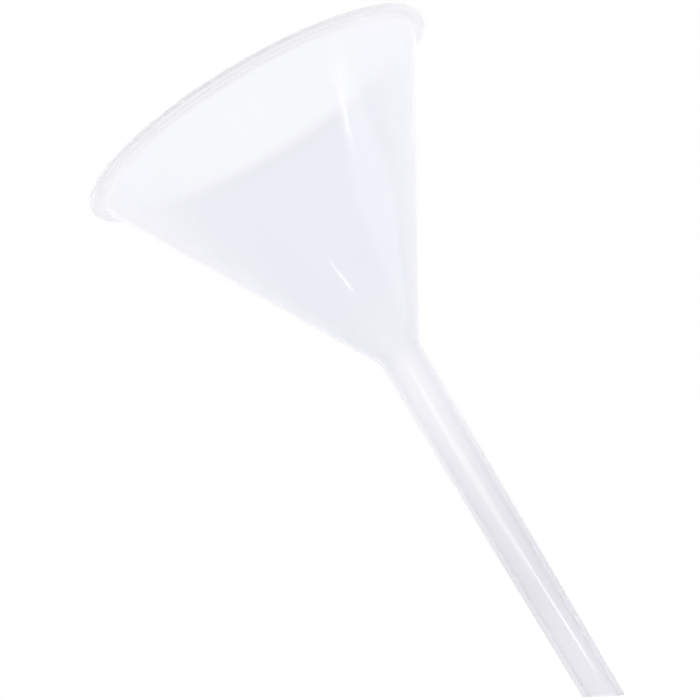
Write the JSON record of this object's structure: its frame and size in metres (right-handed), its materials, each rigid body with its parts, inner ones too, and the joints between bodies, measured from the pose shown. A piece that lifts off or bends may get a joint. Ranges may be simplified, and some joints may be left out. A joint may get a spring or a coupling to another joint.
{
  "type": "funnel",
  "caption": "Long-stem conical laboratory funnel in translucent plastic, with an outward lip at the mouth and a slanted drip tip.",
  "frame": {"origin": "on the axis, where the outside of the cone meets the outside of the stem", "axes": "+Z along the axis towards the mouth; +X towards the longer side of the slanted tip"},
  "size_m": [0.1, 0.1, 0.1756],
  "materials": {
    "moulding": "translucent milky white with a faint blue cast, glossy"
  },
  "bodies": {
    "root": {"rim_lip": "moulding", "bowl": "moulding", "neck": "moulding", "stem": "moulding"}
  },
  "joints": []
}
